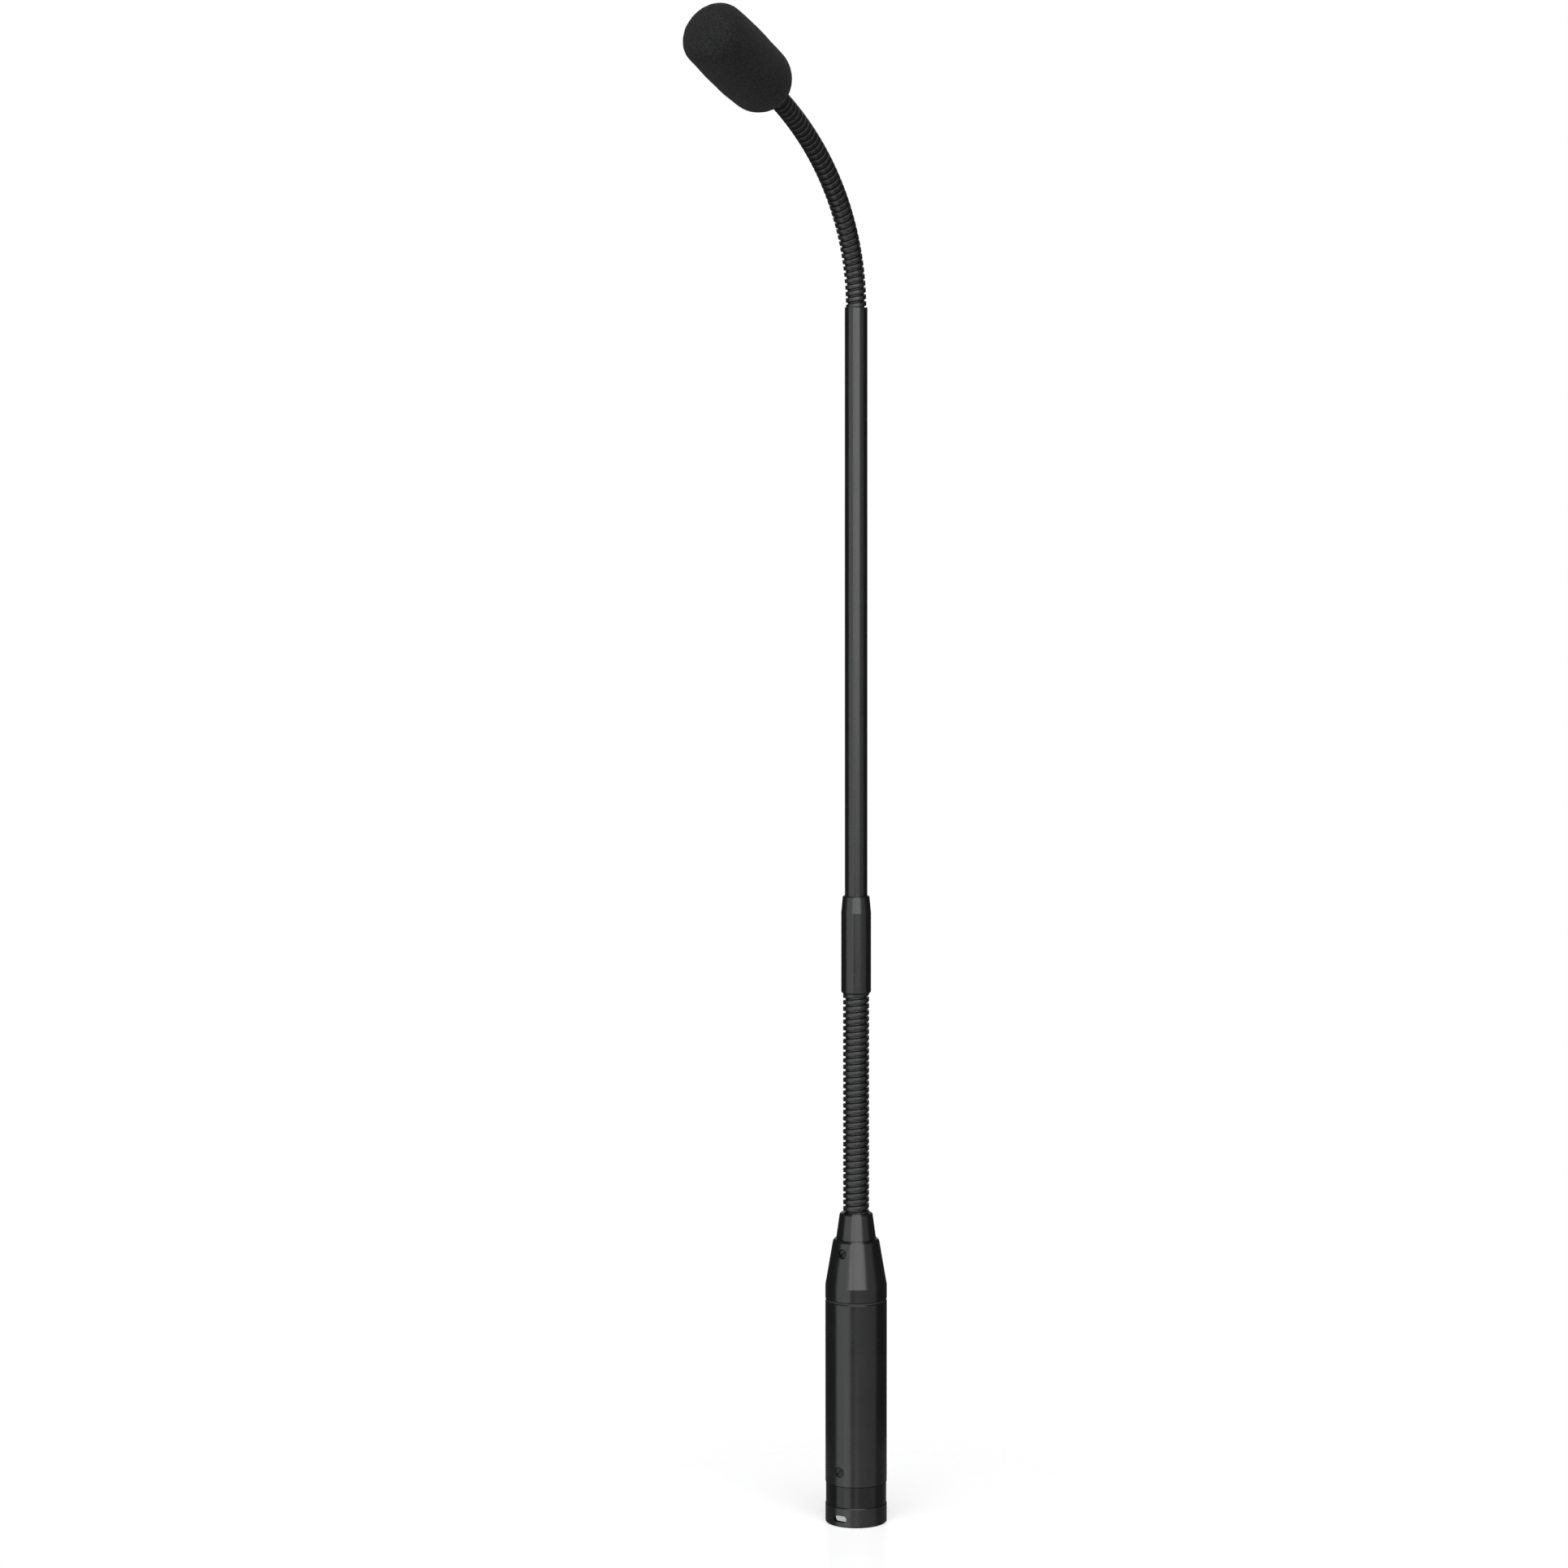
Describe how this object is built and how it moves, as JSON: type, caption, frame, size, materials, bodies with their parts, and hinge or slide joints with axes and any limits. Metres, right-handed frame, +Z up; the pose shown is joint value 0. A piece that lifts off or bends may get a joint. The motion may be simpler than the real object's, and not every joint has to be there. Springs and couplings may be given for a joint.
{
  "type": "gooseneck podium microphone",
  "caption": "Slim podium microphone: connector foot with preamplifier housing, lower gooseneck, rigid stem, upper gooseneck bent forward, and a cylindrical foam windscreen.",
  "frame": {"origin": "centre of the connector shell's rim, on the housing's axis", "axes": "+Z up along the housing, -Y to the front: the latch window, the two screws and the bend of the upper neck are on that side"},
  "size_m": [0.0206, 0.0906, 0.4597],
  "materials": {
    "housing_paint": "satin charcoal powder coat",
    "gloss_band": "polished black",
    "neck_coat": "satin black coat over steel wire",
    "foam": "open-cell foam, black",
    "contact_metal": "nickel plate",
    "insulator": "moulded black",
    "board": "solder mask green",
    "capacitor_can": "brushed can",
    "component_black": "moulded epoxy",
    "resistor_body": "lacquered",
    "wire_jacket": "soft jacket",
    "seal": "matt rubber",
    "screw_steel": "blackened",
    "bush_plastic": "natural nylon",
    "capsule_can": "satin can",
    "felt": "felt",
    "gold_plate": "thin gold plate"
  },
  "bodies": {
    "base": {"connector_shell": "housing_paint", "connector_insert": "insulator", "contact_pins": "gold_plate", "ground_clip": "contact_metal", "glossy_band": "gloss_band", "preamp_housing": "housing_paint", "connector_screw": "screw_steel", "preamp_board": "board", "board_capacitors": "capacitor_can", "board_transistors": "component_black", "board_resistors": "resistor_body", "pin_wires": "wire_jacket", "housing_gasket": "seal", "cone_collar": "housing_paint", "collar_screw": "screw_steel", "neck_cone": "housing_paint", "cable_grommet": "seal", "base_cable": "wire_jacket", "lower_neck_foot": "neck_coat"},
    "lower_link_01": {"lower_neck_link_01": "neck_coat"},
    "lower_link_02": {"lower_neck_link_02": "neck_coat"},
    "lower_link_03": {"lower_neck_link_03": "neck_coat"},
    "lower_link_04": {"lower_neck_link_04": "neck_coat"},
    "lower_link_05": {"lower_neck_link_05": "neck_coat"},
    "lower_link_06": {"lower_neck_link_06": "neck_coat"},
    "lower_link_07": {"lower_neck_link_07": "neck_coat"},
    "lower_link_08": {"lower_neck_link_08": "neck_coat"},
    "lower_link_09": {"lower_neck_link_09": "neck_coat"},
    "lower_link_10": {"lower_neck_link_10": "neck_coat"},
    "lower_link_11": {"lower_neck_link_11": "neck_coat"},
    "stem": {"lower_neck_top": "neck_coat", "coupling_sleeve": "housing_paint", "stem_tube": "housing_paint", "stem_bushes": "bush_plastic", "stem_cable": "wire_jacket", "upper_neck_foot": "neck_coat"},
    "upper_link_01": {"upper_neck_link_01": "neck_coat"},
    "upper_link_02": {"upper_neck_link_02": "neck_coat"},
    "upper_link_03": {"upper_neck_link_03": "neck_coat"},
    "upper_link_04": {"upper_neck_link_04": "neck_coat"},
    "upper_link_05": {"upper_neck_link_05": "neck_coat"},
    "upper_link_06": {"upper_neck_link_06": "neck_coat"},
    "upper_link_07": {"upper_neck_link_07": "neck_coat"},
    "upper_link_08": {"upper_neck_link_08": "neck_coat"},
    "upper_link_09": {"upper_neck_link_09": "neck_coat"},
    "upper_link_10": {"upper_neck_link_10": "neck_coat"},
    "upper_link_11": {"upper_neck_link_11": "neck_coat"},
    "upper_link_12": {"upper_neck_link_12": "neck_coat"},
    "upper_link_13": {"upper_neck_link_13": "neck_coat"},
    "head": {"upper_neck_top": "neck_coat", "head_collar": "housing_paint", "capsule_housing": "housing_paint", "front_grille": "housing_paint", "grille_felt": "felt", "condenser_capsule": "capsule_can", "capsule_gasket": "seal", "capsule_board": "board", "capsule_leads": "wire_jacket"},
    "windscreen": {"foam_windscreen": "foam"}
  },
  "joints": [
    {"name": "lower_neck_bend", "type": "hinge", "parent": "base", "child": "lower_link_01", "pos_m": [0, 0, 0.0979], "axis": [1, 0, 0], "range_deg": [-10, 10]},
    {"name": "lower_neck_sway", "type": "hinge", "parent": "lower_link_01", "child": "lower_link_02", "pos_m": [0, 0, 0.1039], "axis": [0, 1, 0], "range_deg": [-10, 10]},
    {"name": "lower_neck_bend_2", "type": "hinge", "parent": "lower_link_02", "child": "lower_link_03", "pos_m": [0, 0, 0.1099], "axis": [1, 0, 0], "range_deg": [-10, 10]},
    {"name": "lower_neck_sway_2", "type": "hinge", "parent": "lower_link_03", "child": "lower_link_04", "pos_m": [0, 0, 0.1159], "axis": [0, 1, 0], "range_deg": [-10, 10]},
    {"name": "lower_neck_bend_3", "type": "hinge", "parent": "lower_link_04", "child": "lower_link_05", "pos_m": [0, 0, 0.1219], "axis": [1, 0, 0], "range_deg": [-10, 10]},
    {"name": "lower_neck_sway_3", "type": "hinge", "parent": "lower_link_05", "child": "lower_link_06", "pos_m": [0, 0, 0.1279], "axis": [0, 1, 0], "range_deg": [-10, 10]},
    {"name": "lower_neck_bend_4", "type": "hinge", "parent": "lower_link_06", "child": "lower_link_07", "pos_m": [0, 0, 0.1339], "axis": [1, 0, 0], "range_deg": [-10, 10]},
    {"name": "lower_neck_sway_4", "type": "hinge", "parent": "lower_link_07", "child": "lower_link_08", "pos_m": [0, 0, 0.1399], "axis": [0, 1, 0], "range_deg": [-10, 10]},
    {"name": "lower_neck_bend_5", "type": "hinge", "parent": "lower_link_08", "child": "lower_link_09", "pos_m": [0, 0, 0.1459], "axis": [1, 0, 0], "range_deg": [-10, 10]},
    {"name": "lower_neck_sway_5", "type": "hinge", "parent": "lower_link_09", "child": "lower_link_10", "pos_m": [0, 0, 0.1519], "axis": [0, 1, 0], "range_deg": [-10, 10]},
    {"name": "lower_neck_bend_6", "type": "hinge", "parent": "lower_link_10", "child": "lower_link_11", "pos_m": [0, 0, 0.1579], "axis": [1, 0, 0], "range_deg": [-10, 10]},
    {"name": "lower_neck_sway_6", "type": "hinge", "parent": "lower_link_11", "child": "stem", "pos_m": [0, 0, 0.1639], "axis": [0, 1, 0], "range_deg": [-10, 10]},
    {"name": "upper_neck_bend", "type": "hinge", "parent": "stem", "child": "upper_link_01", "pos_m": [0, 0, 0.3758], "axis": [1, 0, 0], "range_deg": [-20.73, 3.55]},
    {"name": "upper_neck_sway", "type": "hinge", "parent": "upper_link_01", "child": "upper_link_02", "pos_m": [0, -0.0009, 0.38173], "axis": [0, 0.9888, 0.1494], "range_deg": [-12.8, 12.8]},
    {"name": "upper_neck_bend_2", "type": "hinge", "parent": "upper_link_02", "child": "upper_link_03", "pos_m": [0, -0.00179, 0.38767], "axis": [1, 0, 0], "range_deg": [-28.7, 4.92]},
    {"name": "upper_neck_sway_2", "type": "hinge", "parent": "upper_link_03", "child": "upper_link_04", "pos_m": [0, -0.00389, 0.39329], "axis": [0, 0.9368, 0.3499], "range_deg": [-12.8, 12.8]},
    {"name": "upper_neck_bend_3", "type": "hinge", "parent": "upper_link_04", "child": "upper_link_05", "pos_m": [0, -0.00599, 0.39891], "axis": [1, 0, 0], "range_deg": [-25.82, 4.43]},
    {"name": "upper_neck_sway_3", "type": "hinge", "parent": "upper_link_05", "child": "upper_link_06", "pos_m": [0, -0.0091, 0.40404], "axis": [0, 0.8556, 0.5177], "range_deg": [-12.8, 12.8]},
    {"name": "upper_neck_bend_4", "type": "hinge", "parent": "upper_link_06", "child": "upper_link_07", "pos_m": [0, -0.0122, 0.40917], "axis": [1, 0, 0], "range_deg": [-22.93, 3.93]},
    {"name": "upper_neck_sway_4", "type": "hinge", "parent": "upper_link_07", "child": "upper_link_08", "pos_m": [0, -0.01611, 0.41372], "axis": [0, 0.7584, 0.6518], "range_deg": [-12.8, 12.8]},
    {"name": "upper_neck_bend_5", "type": "hinge", "parent": "upper_link_08", "child": "upper_link_09", "pos_m": [0, -0.02003, 0.41827], "axis": [1, 0, 0], "range_deg": [-20.04, 3.44]},
    {"name": "upper_neck_sway_5", "type": "hinge", "parent": "upper_link_09", "child": "upper_link_10", "pos_m": [0, -0.02455, 0.42221], "axis": [0, 0.6563, 0.7545], "range_deg": [-12.8, 12.8]},
    {"name": "upper_neck_bend_6", "type": "hinge", "parent": "upper_link_10", "child": "upper_link_11", "pos_m": [0, -0.02908, 0.42615], "axis": [1, 0, 0], "range_deg": [-17.16, 2.94]},
    {"name": "upper_neck_sway_6", "type": "hinge", "parent": "upper_link_11", "child": "upper_link_12", "pos_m": [0, -0.03406, 0.4295], "axis": [0, 0.558, 0.8299], "range_deg": [-12.8, 12.8]},
    {"name": "upper_neck_bend_7", "type": "hinge", "parent": "upper_link_12", "child": "upper_link_13", "pos_m": [0, -0.03904, 0.43285], "axis": [1, 0, 0], "range_deg": [-18.39, 3.15]},
    {"name": "upper_neck_sway_7", "type": "hinge", "parent": "upper_link_13", "child": "head", "pos_m": [0, -0.04442, 0.4355], "axis": [0, 0.4431, 0.8965], "range_deg": [-12.8, 12.8]},
    {"name": "windscreen_pull_off", "type": "slide", "parent": "head", "child": "windscreen", "axis": [0, -0.8965, 0.4431], "range_m": [0, 0.045]}
  ],
  "couplings": [
    {"joint": "lower_neck_bend_2", "follows": "lower_neck_bend", "ratio": 1},
    {"joint": "lower_neck_sway_2", "follows": "lower_neck_sway", "ratio": 1},
    {"joint": "lower_neck_bend_3", "follows": "lower_neck_bend", "ratio": 1},
    {"joint": "lower_neck_sway_3", "follows": "lower_neck_sway", "ratio": 1},
    {"joint": "lower_neck_bend_4", "follows": "lower_neck_bend", "ratio": 1},
    {"joint": "lower_neck_sway_4", "follows": "lower_neck_sway", "ratio": 1},
    {"joint": "lower_neck_bend_5", "follows": "lower_neck_bend", "ratio": 1},
    {"joint": "lower_neck_sway_5", "follows": "lower_neck_sway", "ratio": 1},
    {"joint": "lower_neck_bend_6", "follows": "lower_neck_bend", "ratio": 1},
    {"joint": "lower_neck_sway_6", "follows": "lower_neck_sway", "ratio": 1},
    {"joint": "upper_neck_bend_2", "follows": "upper_neck_bend", "ratio": 1.384},
    {"joint": "upper_neck_sway_2", "follows": "upper_neck_sway", "ratio": 1},
    {"joint": "upper_neck_bend_3", "follows": "upper_neck_bend", "ratio": 1.2448},
    {"joint": "upper_neck_sway_3", "follows": "upper_neck_sway", "ratio": 1},
    {"joint": "upper_neck_bend_4", "follows": "upper_neck_bend", "ratio": 1.1056},
    {"joint": "upper_neck_sway_4", "follows": "upper_neck_sway", "ratio": 1},
    {"joint": "upper_neck_bend_5", "follows": "upper_neck_bend", "ratio": 0.96637},
    {"joint": "upper_neck_sway_5", "follows": "upper_neck_sway", "ratio": 1},
    {"joint": "upper_neck_bend_6", "follows": "upper_neck_bend", "ratio": 0.82717},
    {"joint": "upper_neck_sway_6", "follows": "upper_neck_sway", "ratio": 1},
    {"joint": "upper_neck_bend_7", "follows": "upper_neck_bend", "ratio": 0.88635},
    {"joint": "upper_neck_sway_7", "follows": "upper_neck_sway", "ratio": 1}
  ]
}
